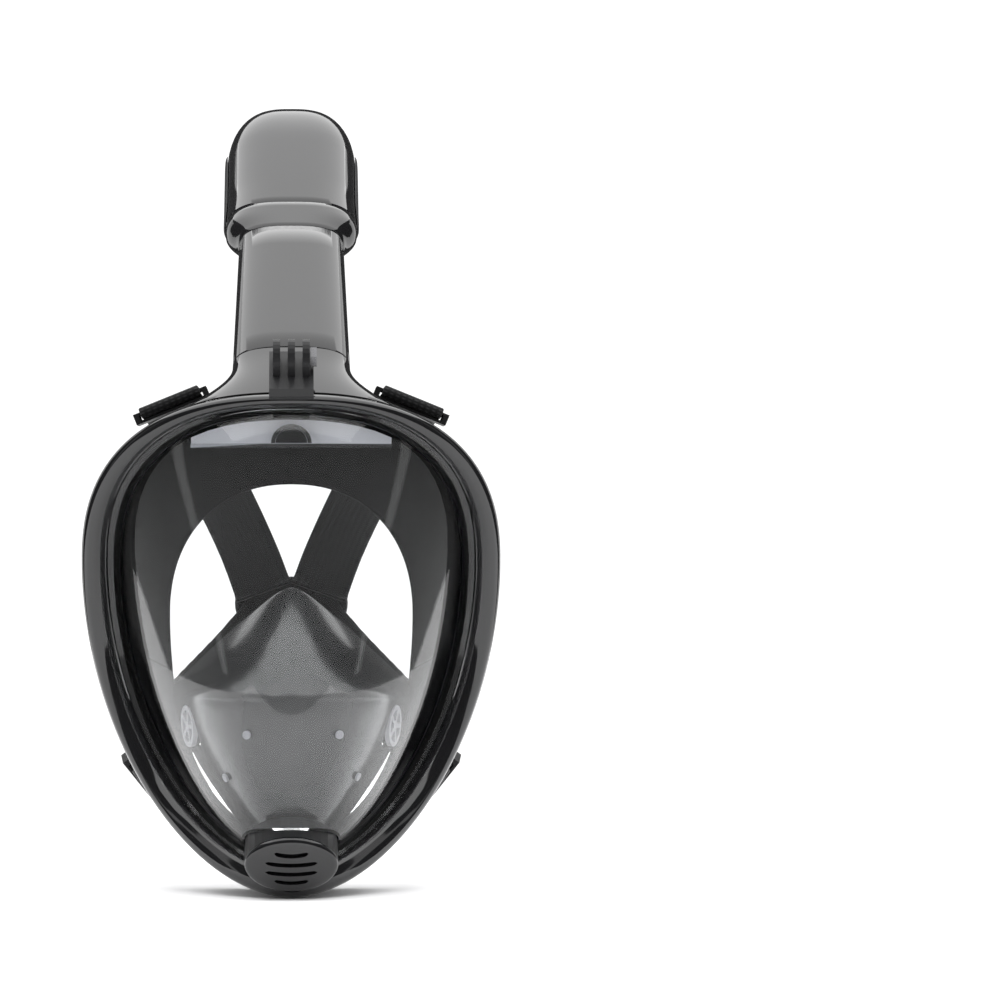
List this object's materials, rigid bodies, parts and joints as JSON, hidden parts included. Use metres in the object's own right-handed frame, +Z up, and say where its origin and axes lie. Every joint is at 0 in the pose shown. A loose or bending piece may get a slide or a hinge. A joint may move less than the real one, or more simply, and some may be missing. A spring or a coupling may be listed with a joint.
{
  "type": "full face snorkel mask",
  "caption": "Full face snorkel mask: clear domed lens in an egg-shaped frame, silicone skirt and nose pocket, swept-back dry-top snorkel, camera lug and strap harness.",
  "frame": {"origin": "middle of the wearer's face space, level with the rearmost points of the front ring, on the mask's symmetry plane", "axes": "+Z up the mask to the snorkel, -Y out through the lens, +X across the mask to the viewer's right when the lens faces the viewer"},
  "size_m": [0.1788, 0.2486, 0.3449],
  "materials": {
    "gloss_black": "polished black moulded plastic",
    "matte_black": "fine satin black moulded plastic",
    "silicone_black": "satin black silicone rubber",
    "silicone_satin": "smooth satin dark silicone rubber",
    "clear_lens": "clear polished polycarbonate",
    "smoke_clear": "clear moulded plastic, slightly grey",
    "webbing_black": "woven black elastic webbing",
    "nut_steel": "stainless steel",
    "float_foam": "closed-cell foam",
    "vent_grey": "satin grey moulded plastic"
  },
  "bodies": {
    "mask": {"bezel_ring": "gloss_black", "snorkel_socket": "gloss_black", "chin_valve_cover": "gloss_black", "rear_frame": "matte_black", "duct_nozzle": "matte_black", "camera_mount": "matte_black", "chin_valve_seat": "matte_black", "strap_bracket_left": "matte_black", "strap_bracket_right": "matte_black", "strap_clip_left": "matte_black", "strap_clip_right": "matte_black", "strap_slider_left": "matte_black", "strap_slider_right": "matte_black", "face_skirt": "silicone_black", "nose_pocket": "silicone_satin", "visor_lens": "clear_lens", "forehead_panel": "smoke_clear", "strap_upper_left": "webbing_black", "strap_upper_right": "webbing_black", "strap_lower_left": "webbing_black", "strap_lower_right": "webbing_black", "back_pad": "webbing_black", "camera_mount_nut": "nut_steel", "inhale_valve_seat_left": "vent_grey", "inhale_valve_seat_right": "vent_grey", "pocket_rivet_1": "vent_grey", "pocket_rivet_2": "vent_grey", "pocket_rivet_3": "vent_grey", "pocket_rivet_4": "vent_grey"},
    "snorkel": {"snorkel_tube_front": "gloss_black", "snorkel_tube_rear": "matte_black", "snorkel_divider": "matte_black", "snorkel_spigot": "matte_black", "spigot_o_ring": "silicone_black", "head_neck": "gloss_black", "head_cap": "gloss_black", "head_panel_left": "matte_black", "head_panel_right": "matte_black", "intake_grille": "vent_grey", "float_chamber_wall": "matte_black", "valve_seat": "vent_grey"},
    "float": {"float_body": "float_foam", "float_seal": "silicone_black"},
    "chin_flap": {"chin_valve_flap": "silicone_black"},
    "inhale_flap_left_body": {"inhale_flap_left": "silicone_black"},
    "inhale_flap_right_body": {"inhale_flap_right": "silicone_black"}
  },
  "joints": [
    {"name": "snorkel_pull", "type": "slide", "parent": "mask", "child": "snorkel", "axis": [0, 0.829, 0.5593], "range_m": [0, 0.035]},
    {"name": "float_rise", "type": "slide", "parent": "snorkel", "child": "float", "axis": [0, 0.829, 0.5593], "range_m": [0, 0.0082]},
    {"name": "chin_flap_lift", "type": "slide", "parent": "mask", "child": "chin_flap", "axis": [0, -0.8486, -0.5291], "range_m": [0, 0.0018], "stiffness_N_per_m": 30},
    {"name": "inhale_flap_left_lift", "type": "slide", "parent": "mask", "child": "inhale_flap_left_body", "axis": [0.9488, 0.2996, 0.0999], "range_m": [0, 0.0015], "stiffness_N_per_m": 30},
    {"name": "inhale_flap_right_lift", "type": "slide", "parent": "mask", "child": "inhale_flap_right_body", "axis": [-0.9488, 0.2996, 0.0999], "range_m": [0, 0.0015], "stiffness_N_per_m": 30}
  ]
}
